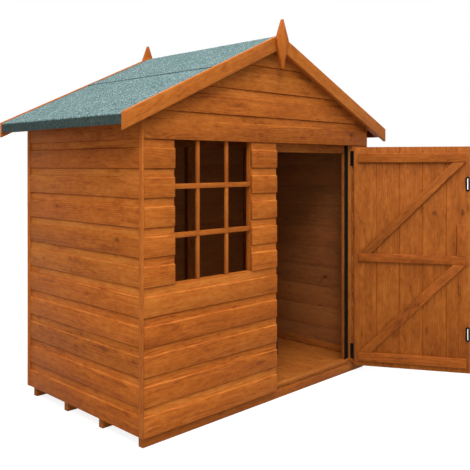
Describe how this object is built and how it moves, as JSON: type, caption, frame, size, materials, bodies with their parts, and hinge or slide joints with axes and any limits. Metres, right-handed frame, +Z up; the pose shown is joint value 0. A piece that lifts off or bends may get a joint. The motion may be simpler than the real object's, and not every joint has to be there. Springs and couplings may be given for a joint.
{
  "type": "small apex garden shed with a window and an open ledged door",
  "caption": "Small timber garden shed with an apex felt roof, a window and a ledged and braced door in its front gable. Its door swings on butt hinges.",
  "frame": {"origin": "on the ground, at the middle of the underside of the front bearer", "axes": "+Z up; +X to the right seen from the front; +Y from the front gable, with the window and the doorway, to the back wall"},
  "size_m": [1.8148, 1.4957, 1.7844],
  "materials": {
    "cladding_wood": "orange-brown dip stain on sawn softwood",
    "trim_wood": "orange-brown dip stain on planed softwood",
    "door_wood": "orange-brown dip stain on planed softwood",
    "frame_wood": "orange-brown dip stain on sawn softwood",
    "floor_wood": "orange-brown dip stain on sawn softwood",
    "roof_felt": "green mineral-faced bitumen felt",
    "black_iron": "black lacquered steel",
    "black_seal": "black sealing strip",
    "catch_case": "black plastic",
    "catch_plate": "bright plated steel"
  },
  "bodies": {
    "root": {"back_cladding": "cladding_wood", "back_wall_rails": "frame_wood", "back_wall_studs": "frame_wood", "bargeboards_left": "trim_wood", "bargeboards_right": "trim_wood", "bearers": "floor_wood", "corner_strips": "trim_wood", "door_head_stop": "frame_wood", "door_posts": "frame_wood", "door_seal_strip": "black_seal", "door_stops": "frame_wood", "door_threshold": "frame_wood", "eaves_battens": "frame_wood", "finials": "trim_wood", "floor_boards": "floor_wood", "front_cladding_below_window": "cladding_wood", "front_cladding_left": "cladding_wood", "front_cladding_pier": "cladding_wood", "front_cladding_right": "cladding_wood", "front_gable_cladding": "cladding_wood", "front_wall_rails": "frame_wood", "front_wall_studs": "frame_wood", "gable_rafters_left": "frame_wood", "gable_rafters_right": "frame_wood", "gable_studs": "frame_wood", "left_cladding": "cladding_wood", "magnet_catches": "catch_case", "post_hinge_leaves": "black_iron", "right_cladding": "cladding_wood", "roof_boards_left": "frame_wood", "roof_boards_right": "frame_wood", "roof_felt_eaves": "roof_felt", "roof_felt_ridge": "roof_felt", "roof_purlins": "frame_wood", "roof_ridge_beam": "frame_wood", "side_wall_rails": "frame_wood", "side_wall_studs": "frame_wood", "verge_battens_left": "frame_wood", "verge_battens_right": "frame_wood", "window_jambs": "trim_wood", "window_sill_and_head": "trim_wood"},
    "door": {"door_boards": "door_wood", "door_braces": "door_wood", "door_catch_plates": "catch_plate", "door_handle": "black_iron", "door_hinge_leaves": "black_iron", "door_ledges": "door_wood", "door_lock_block": "door_wood"}
  },
  "joints": [
    {"name": "door_hinge", "type": "hinge", "parent": "root", "child": "door", "pos_m": [0.631, -0.035, 0.6], "axis": [0, 0, 1], "range_deg": [-120, 55]}
  ]
}
